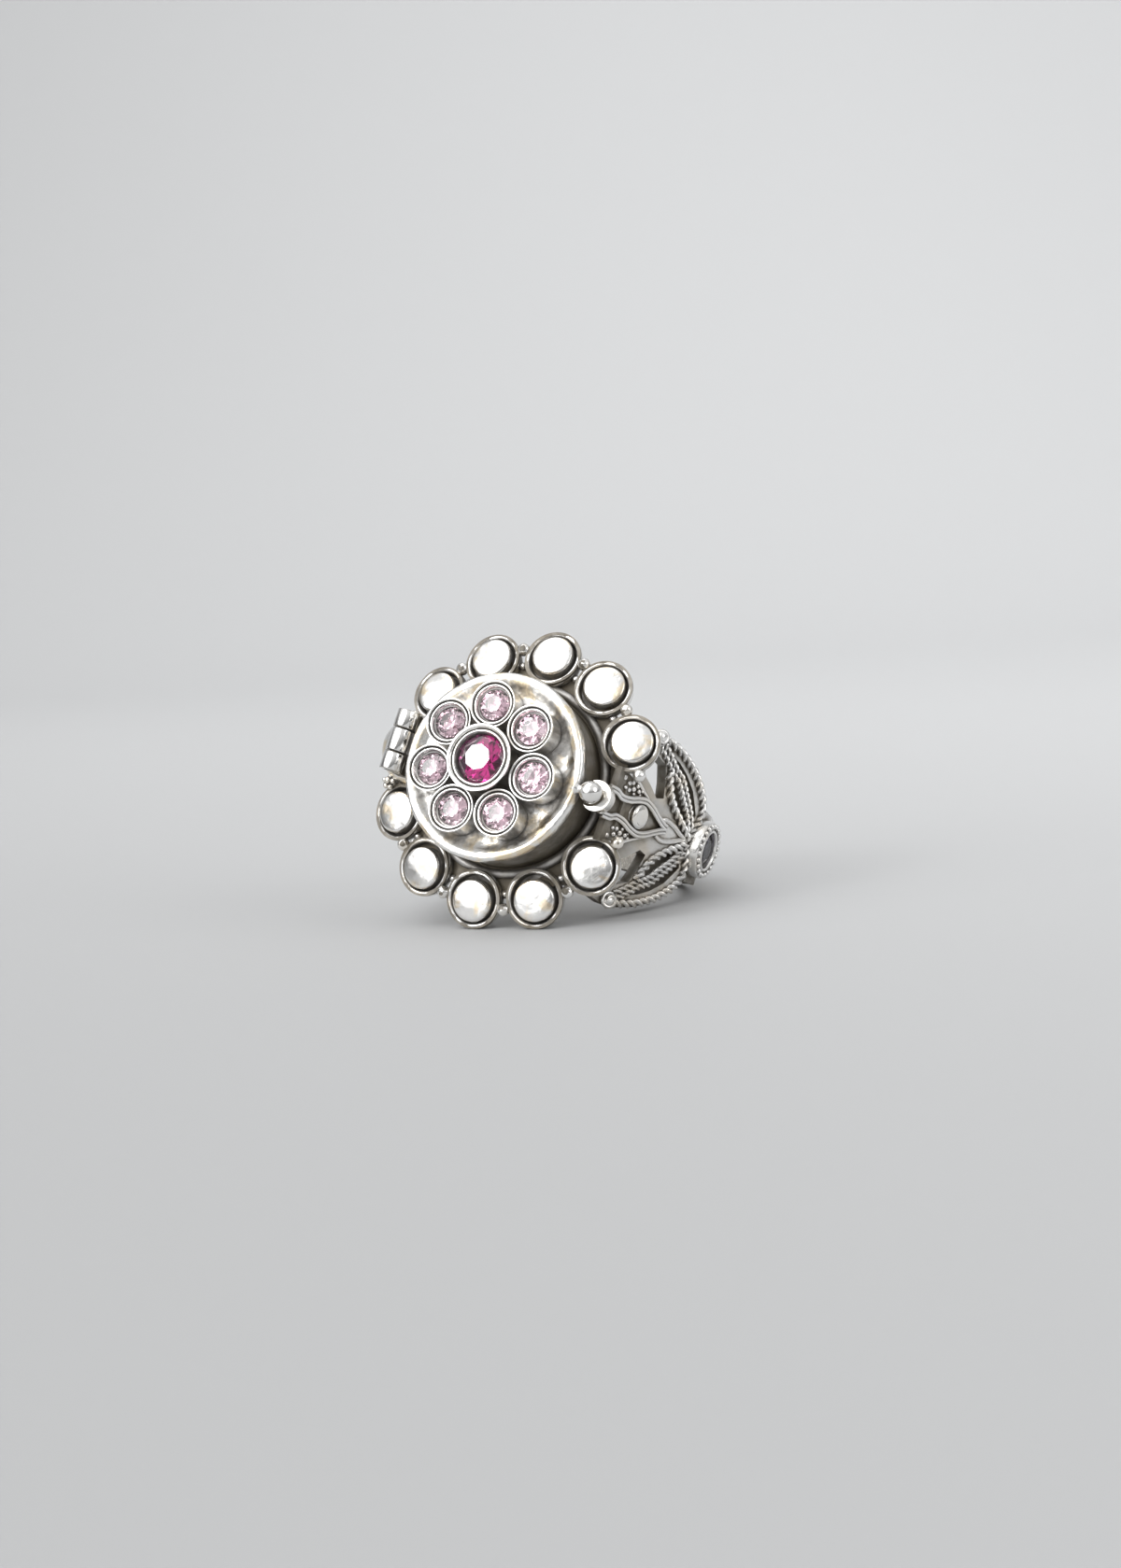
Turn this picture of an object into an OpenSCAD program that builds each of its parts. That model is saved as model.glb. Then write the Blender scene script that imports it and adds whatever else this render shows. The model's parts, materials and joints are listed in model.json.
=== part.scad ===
// Poison ring: a round box with a hinged lid on a pierced finger band, in millimetres.
// Each piece is drawn in the head's own frame: X runs from the hinge to the catch, Y runs along
// the finger, Z points out of the head, and Z = 0 is the height of the petals' buttons.
// lay_down() then lays the whole ring on its side, the way it rests by itself.

/* [Finger band] */
// Inside diameter of the band
finger_d = 17.8; // [15:0.1:22]
// Thickness of the band's wall
band_t = 1.2; // [1:0.05:1.6]
// Width of the plain back of the band
back_w = 4.2; // [3:0.1:7]
// Width of the pierced shoulders at their widest
shoulder_w = 12.6; // [10:0.1:14]
// Height of the petals' buttons above the band
head_seat = 1.1; // [0.9:0.05:2]

/* [Box] */
// Outside diameter of the box
box_d = 12.6; // [11:0.1:14]
// Thickness of the box's wall
box_wall = 0.7; // [0.5:0.05:1.2]
// Thinnest metal between the box's floor and the finger
floor_t = 1.3; // [1:0.05:1.8]
// Height of the box's edge above the petals' buttons
box_rise = 2.35; // [1.8:0.05:3.5]
// Thickness of the plate that carries the petals
plate_t = 0.7; // [0.5:0.05:0.9]
// Thickness of the ridge wire round the box
ridge_wire = 0.56; // [0.4:0.02:0.7]

/* [Petals] */
// Diameter of the circle through the petals' middles
petal_ring_d = 17.6; // [17:0.1:20]
// Places on that circle, of which the hinge and the catch take two
petal_places = 12; // [12:2:12]
// Diameter of a petal's cup
cup_d = 4.1; // [3.6:0.05:4.3]
// Thickness of a cup's wall
cup_wall = 0.24; // [0.2:0.02:0.4]
// Depth of the groove round a button
groove_deep = 0.8; // [0.5:0.05:1]
// Diameter of a polished button
button_d = 2.9; // [2.4:0.05:3]
// Height of a button above its cup's edge
button_rise = 0.3; // [0.1:0.05:0.6]
// Outward lean of a petal, in degrees
petal_lean = 13; // [0:1:20]
// Distance of a solder grain outside the line between two petals' middles
grain_out = 0.75; // [0.5:0.05:1]
// Depth that a solder grain bites into each petal
grain_bite = 0.07; // [0.03:0.01:0.15]

/* [Lid] */
// Diameter of the lid
lid_d = 13.2; // [13:0.1:15]
// Height of the lid's edge
lid_edge = 0.85; // [0.7:0.05:1.2]
// Width of the lid's raised rim
lid_rim = 0.6; // [0.4:0.05:1]
// Depth of the dish inside the rim
dish_deep = 0.35; // [0.2:0.05:0.5]
// Rise of the dish's floor at its middle
dome_rise = 0.65; // [0.3:0.05:1]
// Gap between the box's edge and the lid
lid_gap = 0.1; // [0.05:0.01:0.2]

/* [Settings] */
// Number of small stones
small_count = 7; // [5:1:7]
// Turn of the first small stone from the catch, in degrees
small_turn = -4; // [-20:1:20]
// Diameter of the circle through the small stones
small_ring_d = 7.8; // [7.6:0.1:8.2]
// Outside diameter of a small setting
small_bezel_d = 3.3; // [2.8:0.05:3.3]
// Height of a small setting's edge above the lid's edge
small_bezel_rise = 1.7; // [1.2:0.05:2.4]
// Diameter of a small stone
small_stone_d = 2.15; // [1.9:0.05:2.4]
// Diameter of the tall setting's flared edge
tall_bezel_d = 4.7; // [4.2:0.05:4.8]
// Diameter of the tall setting's stem
tall_stem_d = 4.1; // [3.8:0.05:4.2]
// Height of the tall setting's edge above the lid's edge
tall_bezel_rise = 2.4; // [2.2:0.05:3.6]
// Diameter of the ruby
ruby_d = 3.3; // [2.8:0.05:3.4]
// Outside diameter of a side setting
side_bezel_d = 4.1; // [3.6:0.05:4.4]
// Height of a side setting's edge above the band
side_bezel_rise = 0.75; // [0.4:0.05:1.2]
// Diameter of a side stone
side_stone_d = 2.6; // [2:0.05:3]
// Gap between a stone and its setting
stone_gap = 0.04; // [0.02:0.01:0.08]

/* [Hinge] */
// Diameter of the hinge's knuckles
knuckle_d = 1.55; // [1.3:0.05:1.8]
// Length of the three knuckles together
hinge_len = 4.3; // [3.6:0.1:5]
// Length of the lid's knuckle
middle_len = 1.6; // [1.2:0.05:2]
// Diameter of the hinge pin
pin_d = 0.8; // [0.6:0.02:0.9]
// Clearance between the pin and its hole, at the radius
pin_clear = 0.04; // [0.02:0.01:0.08]
// Gap between the knuckles, and between the lid's edge and the outer ones
hinge_gap = 0.12; // [0.08:0.01:0.2]

/* [Catch] */
// Diameter of the ball on the lid
ball_d = 1.55; // [1.2:0.05:1.8]
// Outside diameter of the crescent catch
catch_d = 2.1; // [1.8:0.05:2.4]
// Thickness of the crescent catch
catch_t = 0.38; // [0.3:0.02:0.5]
// Height of the crescent catch
catch_h = 0.8; // [0.6:0.05:1.2]
// Gap between the ball and the crescent below it
catch_gap = 0.25; // [0.15:0.01:0.4]

/* [Framed boss] */
// Diameter of the polished boss below the head
boss_d = 1.5; // [1.2:0.05:1.8]
// Thickness of the frame's plate
frame_t = 0.55; // [0.4:0.05:0.8]
// Height of the frame's wire above its plate
frame_wire = 0.3; // [0.2:0.05:0.4]

/* [Hidden] */
// Shoulder outline: degrees from the head, then half width as a share of half the shoulder's width
shoulder_edge = [[0, 0.92], [40, 0.95], [47, 1], [53, 1], [60, 0.94], [67, 0.85],
    [74, 0.73], [81, 0.57], [88, 0.42]];
// Where the pierced part ends behind a side setting, in degrees from the head
taper_end = 124;
// Gaps in a shoulder: degrees from the head, then a share of half the shoulder's width
outer_gap = [[57, 0.82], [62, 0.77], [68, 0.68], [75, 0.54], [82.5, 0.31], [81, 0.23], [74, 0.4],
    [67, 0.6], [60, 0.74]];
inner_gap = [[60.5, 0.58], [65, 0.53], [70.5, 0.37], [76.5, 0.2], [75.5, 0.14], [68, 0.25],
    [63, 0.38]];
head_gap = [[47, 0.7], [51.5, 0.75], [56.5, 0.68], [59, 0.5], [60.5, 0.33], [57, 0.3],
    [52, 0.42], [48, 0.5]];
// The framed plate from the box to its point: share of its length, then share of half the shoulder
frame_edge = [[0, 0.42], [0.32, 0.38], [0.64, 0.23], [1, 0.045]];
// The wavy wires on it, in the same shares
frame_wave = [[0, 0.145], [0.1, 0.11], [0.25, 0.125], [0.38, 0.165], [0.52, 0.185], [0.66, 0.15],
    [0.8, 0.085], [0.92, 0.04], [1, 0.03]];
side_deg = 93;       // place of a side setting, in degrees from the head
frame_foot_deg = 62; // where the frame's point meets the band
boss_share = 0.48;    // place of the boss, as a share of the frame's length
boss_rise = 0.35;    // height of the boss above the plate, as a share of its diameter
wave_w = 0.32;       // width of a wavy wire
shoulder_tip_deg = 50; // place of the shoulders' upper and lower tips
tip_d = 0.95;        // diameter of the ball on such a tip
bracket_r = 2.6;     // radius of the bowl-shaped bracket behind the hinge
bracket_out = 1.45;  // distance of the bowl's middle outside the box
bracket_up = -0.6;   // height of the bowl's middle
flare_h = 0.9;       // height of the tall setting's flared part
stone_sink = 0.42;   // depth of a stone's widest edge below its setting's edge
stone_base = 0.42;   // depth of a stone below its widest edge, as a share of its diameter
stone_crown = 0.16;  // height of a stone above it, as a share of its diameter
seat_spare = 0.1;    // room under a stone's point
plate_in = 0.5;      // distance of the plate's edge inside the petals' middles
ridge_out = 0.45;    // distance of the ridge wire's middle from the box
small = 0.1;         // overlap that joins two shapes
spare = 1;           // how much further than the metal a cut goes
cup_sink = 0.075;    // depth of a cup's middle below its edge's height, as a share of its radius
plate_drop = 0.5;    // depth of the plate below the cups' middles, as a share of a cup's radius
button_dome = 3;     // radius of a button's domed face, as a multiple of its diameter
ridge_up = 0.35;     // height of the ridge wire's middle on the plate, as a share of its thickness
box_root = 0.8;      // where the box's wall starts, as a share of the finger's radius
taper_lead = 8;      // degrees from a side setting to where the shank's sides run straight
taper_spare = 0.35;  // width that the shank still has there beyond half its back
taper_share = 0.4;   // least half width there, as a share of half the shoulder's width
hinge_drop = 0.25;   // depth of the pin below the lid's edge, as a share of the edge's height
leg_share = 0.6;     // width of a knuckle's leg, as a share of the knuckle's diameter
ball_out = 0.62;     // distance of the ball's middle outside the lid, as a share of its diameter
ball_drop = 0.05;    // depth of the ball's middle below the lid's edge, in the same shares
neck_drop = 0.1;     // depth of the neck's middle below the ball's, in the same shares
neck_share = 0.35;   // thickness of the neck, in the same shares
post_share = 0.6;    // thickness of the crescent's post, as a share of the crescent's diameter
tongue_in = 0.7;     // reach of the middle knuckle's tongue into the lid's rim, as a share of it
tongue_t = 0.45;     // thickness of the tongue, as a share of the lid's edge
lid_bevel = 0.3;     // bevel of the lid's edge, as a share of its rim
dome_foot = 0.93;    // radius of the dome in the lid's dish at its foot, as a share of the dish
dome_top = 0.3;      // radius of the dome at its top, in the same shares
frame_out = 1;       // distance of the framed plate's upper end outside the box
boss_dome = 1.2;     // diameter of the boss's round face, as a share of the boss's
boss_sink = 0.1;     // depth of its middle below the plate's face, as a share of the boss's diameter
// Two rings of eight facets: turn, then their reach at the widest edge, the table and the point
stone_cut = [[0, 1.07, 0.57, 0.03], [22.5, 1.04, 0.76, 0.3]];
big = 40;            // longer than any cut
fn_round = 64;

finger_r = finger_d / 2;
band_r = finger_r + band_t;
axis_z = -(band_r + head_seat);
box_r = box_d / 2;
petal_r = petal_ring_d / 2;
petal_pitch = 360 / petal_places;
cup_r = cup_d / 2;
button_r = button_d / 2;
cup_edge_z = -button_rise;
cup_z = cup_edge_z - cup_sink * cup_r;
plate_z = cup_z - plate_drop * cup_r;
floor_z = axis_z + finger_r + floor_t;
lid_r = lid_d / 2;
lid_z = box_rise + lid_gap;
lid_top = lid_z + lid_edge;
hinge_x = -(lid_r + knuckle_d / 2 + hinge_gap);
hinge_z = lid_top - hinge_drop * lid_edge;
outer_len = (hinge_len - middle_len) / 2 - hinge_gap;
ball_x = lid_r + ball_out * ball_d;
ball_z = lid_top - ball_drop * ball_d;
side_r = band_r + side_bezel_rise;
grain_r = norm([petal_r * sin(petal_pitch / 2), grain_out]) - cup_r + grain_bite;

silver = "#c9c7c2";
pink = "#e3a9c4";
magenta = "#c2185b";
lavender = "#a79fc0";

// Rest: the ring lies on two neighbouring petals and the lower edge of its back.
roll = petal_pitch / 2;
function cup_low(t) = -cos(t) * petal_r * cos(roll) + sin(t) * cup_z - cup_r;
function back_low(t) = -cos(t) * cos(roll) * back_w / 2 + sin(t) * axis_z
    - band_r * sqrt(pow(cos(t) * sin(roll), 2) + pow(sin(t), 2));
function rest_tilt(low = 0, high = 60, n = 30) = n == 0 ? (low + high) / 2
    : back_low((low + high) / 2) > cup_low((low + high) / 2)
        ? rest_tilt((low + high) / 2, high, n - 1) : rest_tilt(low, (low + high) / 2, n - 1);
tilt = rest_tilt();

// The resting ring's reach to the left, right, front and back.
function flat(p) = [p.x * cos(roll) + p.y * sin(roll),
    -p.z * cos(tilt) + (p.y * cos(roll) - p.x * sin(roll)) * sin(tilt)];
petal_angles = [for (i = [1:petal_places - 1]) if (i != petal_places / 2) i * petal_pitch];
petal_flats = [for (a = petal_angles) flat([petal_r * cos(a), petal_r * sin(a), cup_z])];
side_flats = [for (s = [-1, 1], e = [0:15:345])
    flat(concat(around(side_deg * s, side_r, 0) + side_bezel_d / 2
        * [cos(side_deg) * cos(e) * s, sin(e), -sin(side_deg) * cos(e)]))];
function front_of(p, rise, d) = flat([p.x, p.y, lid_top + rise]).y - d / 2 * sin(tilt);
small_fronts = [for (i = [1:small_count]) front_of(small_at(i), small_bezel_rise, small_bezel_d)];
back_flats = [for (e = [120:2:240], s = [-1, 1]) flat(around(e, band_r, s * back_w / 2))];
reach_left = min(concat([for (p = petal_flats) p.x - cup_r], [for (p = side_flats) p.x]));
reach_right = max(concat([for (p = petal_flats) p.x + cup_r], [for (p = side_flats) p.x]));
reach_front = min(concat(small_fronts, [front_of([0, 0], tall_bezel_rise, tall_bezel_d)]));
reach_back = max([for (p = back_flats) p.y]);

module lay_down() {
    translate([-(reach_left + reach_right) / 2, -(reach_front + reach_back) / 2, -cup_low(tilt)])
        rotate([90 - tilt, 0, 0]) rotate([0, 0, -roll]) children();
}

// A point round the finger: degrees from the head towards the catch, radius and place along Y.
function around(a, r, y) = [r * sin(a), y, axis_z + r * cos(a)];

// Stands its children, drawn with Z outwards, on the band at an angle and a radius.
module stand(a, r) { translate(around(a, r, 0)) rotate([0, a, 0]) children(); }

// Cuts a prism through the band. The rows hold degrees and shares of half the shoulder's width.
module gap(rows, side, flip) {
    mid = (max([for (p = rows) p.x]) + min([for (p = rows) p.x])) / 2;
    r = finger_r + band_t / 2;
    stand(side * mid, finger_r - spare) linear_extrude(band_t + 3 * spare)
        polygon([for (p = rows) [side * r * sin(p.x - mid), flip * p.y * shoulder_w / 2]]);
}

// Trims the band's edge along one row of its outline and the next.
module trim(from, to, side, flip) {
    mid = (from.x + to.x) / 2;
    r = finger_r + band_t / 2;
    step = r * sin(to.x - mid);
    slope = (to.y - from.y) / 2 / step;
    more = 0.25;
    y0 = from.y - slope * more;
    y1 = to.y + slope * more;
    stand(side * mid, finger_r - spare) linear_extrude(band_t + 3 * spare)
        polygon([[-side * (step + more), flip * y0], [side * (step + more), flip * y1],
            [side * (step + more), flip * shoulder_w], [-side * (step + more), flip * shoulder_w]]);
}

// The finger band: a hoop with its outline trimmed and its shoulders pierced.
module band() {
    half = shoulder_w / 2;
    edge = concat([for (p = shoulder_edge) [p.x, p.y * half]],
        [[side_deg + taper_lead, max(back_w / 2 + taper_spare, taper_share * half)],
        [taper_end, back_w / 2]]);
    difference() {
        translate([0, 0, axis_z]) rotate([90, 0, 0])
            cylinder(r = band_r, h = shoulder_w + 2 * small, center = true, $fn = 96);
        for (flip = [-1, 1]) translate([0, flip * (back_w + big) / 2, axis_z]) rotate([90, 0, 0])
            linear_extrude(big, center = true) polygon([[0, 0],
                big * [sin(taper_end), cos(taper_end)], [big, -big], [-big, -big],
                big * [-sin(taper_end), cos(taper_end)]]);
        for (side = [-1, 1], flip = [-1, 1]) {
            for (i = [0:len(edge) - 2]) trim(edge[i], edge[i + 1], side, flip);
            gap(outer_gap, side, flip);
            gap(inner_gap, side, flip);
            gap(head_gap, side, flip);
        }
    }
}

module bore() {
    translate([0, 0, axis_z]) rotate([90, 0, 0])
        cylinder(r = finger_r, h = big, center = true, $fn = 96);
}

// The round box's outside, the plate round it and its ridge wire.
module box() {
    bottom = axis_z + box_root * finger_r;
    translate([0, 0, bottom]) cylinder(d = box_d, h = box_rise - bottom, $fn = fn_round);
    translate([0, 0, plate_z]) cylinder(r = petal_r - plate_in, h = plate_t, $fn = fn_round);
    translate([0, 0, plate_z + plate_t + ridge_up * ridge_wire]) rotate_extrude($fn = fn_round)
        translate([box_r + ridge_out, 0]) circle(d = ridge_wire, $fn = 20);
}

// One petal: a round cup that leans outwards, with a polished button standing in it.
module petal(a) {
    rotate([0, 0, a]) translate([petal_r, 0, cup_z]) rotate([0, petal_lean, 0]) {
        edge = cup_edge_z - cup_z;
        difference() {
            intersection() {
                sphere(r = cup_r, $fn = 48);
                translate([0, 0, edge - big / 2]) cube(big, center = true);
            }
            translate([0, 0, edge - groove_deep])
                cylinder(r = cup_r - cup_wall, h = big, $fn = 48);
        }
        translate([(cup_r - cup_wall - button_r) / 3, 0, 0]) intersection() {
            translate([0, 0, edge - groove_deep - small])
                cylinder(r = button_r, h = groove_deep + button_rise + small, $fn = 48);
            translate([0, 0, edge + button_rise - button_dome * button_d])
                sphere(r = button_dome * button_d, $fn = 96);
        }
    }
}

// Solder grains in the notches between the petals, and beside the hinge and the catch.
module grains() {
    for (i = [0:petal_places - 1]) rotate([0, 0, (i + 0.5) * petal_pitch])
        translate([petal_r * cos(petal_pitch / 2) + grain_out, 0, cup_z])
            sphere(r = grain_r, $fn = 24);
}

// One ring of eight facets above a stone's widest edge and eight below it.
module facets(row, r, crown, base) {
    rotate(row[0]) translate([0, 0, -base]) intersection() {
        cylinder(r1 = r * (row[1] + (row[1] - row[2]) * base / crown), r2 = r * row[2],
            h = base + crown, $fn = 8);
        cylinder(r1 = r * row[3], r2 = r * (row[1] + (row[1] - row[3]) * crown / base),
            h = base + crown, $fn = 8);
    }
}

// A round cut stone: an eight-sided table, eight main facets above and below, and eight between.
module stone(d) {
    intersection() {
        facets(stone_cut[0], d / 2, stone_crown * d, stone_base * d);
        facets(stone_cut[1], d / 2, stone_crown * d, stone_base * d);
        cylinder(d = d, h = big, center = true, $fn = 48);
    }
}

// The bowl-shaped bracket behind the hinge, its two legs and the two outer knuckles.
module bracket() {
    translate([-(box_r + bracket_out), 0, bracket_up]) sphere(r = bracket_r, $fn = 48);
    for (s = [-1, 1]) scale([1, s, 1]) translate([hinge_x, middle_len / 2 + hinge_gap, hinge_z]) {
        rotate([-90, 0, 0]) cylinder(d = knuckle_d, h = outer_len, $fn = 48);
        translate([-leg_share * knuckle_d / 2, 0, cup_z - hinge_z])
            cube([leg_share * knuckle_d, outer_len, hinge_z - cup_z]);
    }
}

// The crescent below the lid's ball, open towards the box, and the post that carries it.
module catch() {
    low = plate_z + plate_t / 2;
    high = ball_z - ball_d / 2 - catch_gap;
    translate([ball_x, 0, high - catch_h]) difference() {
        cylinder(d = catch_d, h = catch_h, $fn = 48);
        translate([-catch_t, 0, catch_t]) cylinder(d = catch_d - catch_t, h = big, $fn = 48);
    }
    translate([ball_x - catch_t, 0, low])
        cylinder(d = post_share * catch_d, h = high - catch_h - low + small, $fn = 32);
}

// The framed boss between the head and the shoulder: a pointed plate, two wavy wires and a boss.
module framed_boss() {
    top = [box_r + frame_out, 0, 0];
    foot = around(frame_foot_deg, band_r - small, 0);
    length = norm(foot - top);
    lean = atan2(foot.x - top.x, top.z - foot.z);
    half = shoulder_w / 2;
    translate(top) rotate([0, 90 - lean, 0]) {
        linear_extrude(frame_t) polygon(concat(
            [for (p = frame_edge) [p.x * length, p.y * half]],
            [for (i = [len(frame_edge) - 1:-1:0]) [frame_edge[i].x * length, -frame_edge[i].y * half]]));
        for (s = [-1, 1]) linear_extrude(frame_t + frame_wire) polygon(concat(
            [for (p = frame_wave) [p.x * length, s * (p.y * half - wave_w / 2)]],
            [for (i = [len(frame_wave) - 1:-1:0])
                [frame_wave[i].x * length, s * (frame_wave[i].y * half + wave_w / 2)]]));
        translate([boss_share * length, 0, 0]) intersection() {
            cylinder(d = boss_d, h = frame_t + boss_rise * boss_d, $fn = 48);
            translate([0, 0, frame_t - boss_sink * boss_d])
                sphere(d = boss_dome * boss_d, $fn = 48);
        }
    }
}

module side_setting(side) {
    foot = finger_r + band_t / 3;
    stand(side * side_deg, foot) cylinder(d = side_bezel_d, h = side_r - foot, $fn = 48);
}

module ring_body() {
    color(silver) difference() {
        union() {
            band();
            box();
            bracket();
            for (a = petal_angles) petal(a);
            grains();
            catch();
            for (s = [0, 1]) mirror([s, 0, 0]) framed_boss();
            for (side = [-1, 1]) side_setting(side);
            for (side = [-1, 1], flip = [-1, 1])
                translate(around(side * shoulder_tip_deg, band_r, flip * (shoulder_w / 2 - tip_d / 3)))
                    sphere(d = tip_d, $fn = 24);
        }
        bore();
        translate([0, 0, floor_z]) cylinder(r = box_r - box_wall, h = big, $fn = fn_round);
        for (side = [-1, 1]) stand(side * side_deg, side_r) stone_seat(side_stone_d);
        pin_hole();
    }
}

module pin_hole() {
    translate([hinge_x, 0, hinge_z]) rotate([90, 0, 0])
        cylinder(d = pin_d + 2 * pin_clear, h = hinge_len + spare, center = true, $fn = 32);
}

// The lid's disc: a raised rim with a bevelled edge round a dish whose floor rises to its middle.
module lid_disc() {
    floor_r = lid_r - lid_rim;
    bevel = lid_bevel * lid_rim;
    translate([0, 0, lid_z]) cylinder(r = lid_r - bevel, h = lid_edge - dish_deep, $fn = 96);
    translate([0, 0, lid_z]) difference() {
        union() {
            cylinder(r = lid_r, h = lid_edge - bevel, $fn = 96);
            translate([0, 0, lid_edge - bevel])
                cylinder(r1 = lid_r, r2 = lid_r - bevel, h = bevel, $fn = 96);
        }
        translate([0, 0, -spare]) cylinder(r = floor_r, h = big, $fn = 96);
    }
    translate([0, 0, lid_top - dish_deep - small])
        cylinder(r1 = dome_foot * floor_r, r2 = dome_top * floor_r, h = dome_rise + small, $fn = 96);
}

function small_at(i) = small_ring_d / 2
    * [cos(small_turn + 360 / small_count * (i - 1)), sin(small_turn + 360 / small_count * (i - 1))];

module lid() {
    foot = lid_top - dish_deep - 2 * small;
    color(silver) difference() {
        union() {
            lid_disc();
            translate([hinge_x, 0, hinge_z]) rotate([90, 0, 0])
                cylinder(d = knuckle_d, h = middle_len, center = true, $fn = 48);
            translate([hinge_x, -middle_len / 2, lid_z])
                cube([knuckle_d / 2 + hinge_gap + tongue_in * lid_rim, middle_len,
                    tongue_t * lid_edge]);
            translate([ball_x, 0, ball_z]) sphere(d = ball_d, $fn = 48);
            translate([lid_r - lid_rim / 2, 0, ball_z - neck_drop * ball_d]) rotate([0, 90, 0])
                cylinder(d = neck_share * ball_d, h = ball_x - lid_r + lid_rim / 2, $fn = 24);
            for (i = [1:small_count]) translate([small_at(i).x, small_at(i).y, foot])
                cylinder(d = small_bezel_d, h = lid_top + small_bezel_rise - foot, $fn = 48);
            translate([0, 0, foot])
                cylinder(d = tall_stem_d, h = lid_top + tall_bezel_rise - foot, $fn = 48);
            translate([0, 0, lid_top + tall_bezel_rise - flare_h])
                cylinder(d1 = tall_stem_d - small, d2 = tall_bezel_d, h = flare_h, $fn = 48);
        }
        for (i = [1:small_count])
            translate([small_at(i).x, small_at(i).y, lid_top + small_bezel_rise])
                stone_seat(small_stone_d);
        translate([0, 0, lid_top + tall_bezel_rise]) stone_seat(ruby_d);
        pin_hole();
    }
}

// The hole for a stone, measured down from the setting's edge.
module stone_seat(d) {
    deep = stone_sink + stone_base * d + seat_spare;
    translate([0, 0, -deep]) cylinder(d = d + 2 * stone_gap, h = deep + 1, $fn = 48);
}

module hinge_pin() {
    color(silver) translate([hinge_x, 0, hinge_z]) rotate([90, 0, 0])
        cylinder(d = pin_d, h = hinge_len, center = true, $fn = 32);
}

module ruby() {
    color(magenta) translate([0, 0, lid_top + tall_bezel_rise - stone_sink]) stone(ruby_d);
}

module pink_stone(i) {
    color(pink) translate([small_at(i).x, small_at(i).y, lid_top + small_bezel_rise - stone_sink])
        stone(small_stone_d);
}

module side_stone(side) {
    color(lavender) stand(side * side_deg, side_r - stone_sink) stone(side_stone_d);
}

lay_down() ring_body();
lay_down() lid();
lay_down() hinge_pin();
lay_down() ruby();
for (i = [1:small_count])
    lay_down() pink_stone(i);
lay_down() side_stone(1);  // side_stone_right
lay_down() side_stone(-1);  // side_stone_left
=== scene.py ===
import json
import math
import random

import bpy
from mathutils import Matrix, Vector


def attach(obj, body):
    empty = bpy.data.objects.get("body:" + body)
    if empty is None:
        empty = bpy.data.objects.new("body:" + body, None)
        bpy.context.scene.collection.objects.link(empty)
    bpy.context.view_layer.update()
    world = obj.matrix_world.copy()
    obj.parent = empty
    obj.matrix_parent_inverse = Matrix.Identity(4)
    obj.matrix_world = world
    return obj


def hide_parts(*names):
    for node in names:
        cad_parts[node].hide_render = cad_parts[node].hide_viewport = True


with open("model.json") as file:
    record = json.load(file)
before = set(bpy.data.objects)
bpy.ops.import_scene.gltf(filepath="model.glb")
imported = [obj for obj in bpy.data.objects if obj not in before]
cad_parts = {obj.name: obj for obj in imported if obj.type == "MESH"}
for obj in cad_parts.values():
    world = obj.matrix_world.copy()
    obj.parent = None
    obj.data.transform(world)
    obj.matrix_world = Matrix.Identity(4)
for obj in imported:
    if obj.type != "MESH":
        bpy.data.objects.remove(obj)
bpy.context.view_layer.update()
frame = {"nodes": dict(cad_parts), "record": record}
print("frame loaded")

# Every piece is modelled in the head's own millimetres: x from hinge to catch, y along the finger,
# z out of the head, and z = 0 at the petals' buttons. headPlace then lays it down with the ring.
fromFinger = {"hingeBack": 7.495, "hingeUp": 14.2875, "headUp": 11.2}  # mm from the finger's axis


def headPlaceFrom(record):
    bore = next(m for m in record["mounts"] if m["name"] == "finger_bore")
    hinge = next(j for j in record["behaviour"]["joints"] if j["name"] == "lid_hinge")
    start = Vector(bore["pos_m"]) * 1000
    along = Vector(bore["axis"]).normalized()
    reach = (Vector(hinge["pos_m"]) * 1000 - start).normalized()
    across = along.cross(reach)
    size = math.hypot(fromFinger["hingeBack"], fromFinger["hingeUp"])
    back, up = fromFinger["hingeBack"] / size, fromFinger["hingeUp"] / size
    right = up * across - back * reach
    out = up * reach + back * across
    turn = Matrix((right, along, out)).transposed().to_4x4()
    zero = start + fromFinger["headUp"] * out
    return Matrix.Scale(0.001, 4) @ Matrix.Translation(zero) @ turn


headPlace = headPlaceFrom(frame["record"])

# The camera's axes, and the head's zero seen from it, all in the head's millimetres.
photoView = {
    "right": (0.8743, 0.3098, -0.3737),
    "down": (0.2362, -0.9441, -0.2301),
    "ahead": (-0.4241, 0.1129, -0.8986),
    "zero": (-3.403, -0.502, 176.0),
    "lens": 58.52,
}


def setCamera():
    axes = Matrix((photoView["right"], photoView["down"], photoView["ahead"]))
    spot = -(axes.transposed() @ Vector(photoView["zero"]))
    turn = Matrix((axes[0], -axes[1], -axes[2])).transposed().to_4x4()
    data = bpy.data.cameras.new("photoCamera")
    data.lens = photoView["lens"]
    data.sensor_width = 36
    data.clip_start, data.clip_end = 0.005, 20
    camera = bpy.data.objects.new("photoCamera", data)
    bpy.context.scene.collection.objects.link(camera)
    place, spin, _ = (headPlace @ Matrix.Translation(spot) @ turn).decompose()
    camera.matrix_world = Matrix.LocRotScale(place, spin, None)
    bpy.context.scene.camera = camera
    return camera


camera = setCamera()


# Bench tools
def letGo():
    if bpy.context.mode != "OBJECT":
        bpy.ops.object.mode_set(mode="OBJECT")
    bpy.ops.object.select_all(action="DESELECT")


def hold(*pieces):
    letGo()
    for piece in pieces:
        piece.select_set(True)
    bpy.context.view_layer.objects.active = pieces[0]


def editAll(piece):
    hold(piece)
    bpy.ops.object.mode_set(mode="EDIT")
    bpy.ops.mesh.select_all(action="SELECT")


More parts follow.
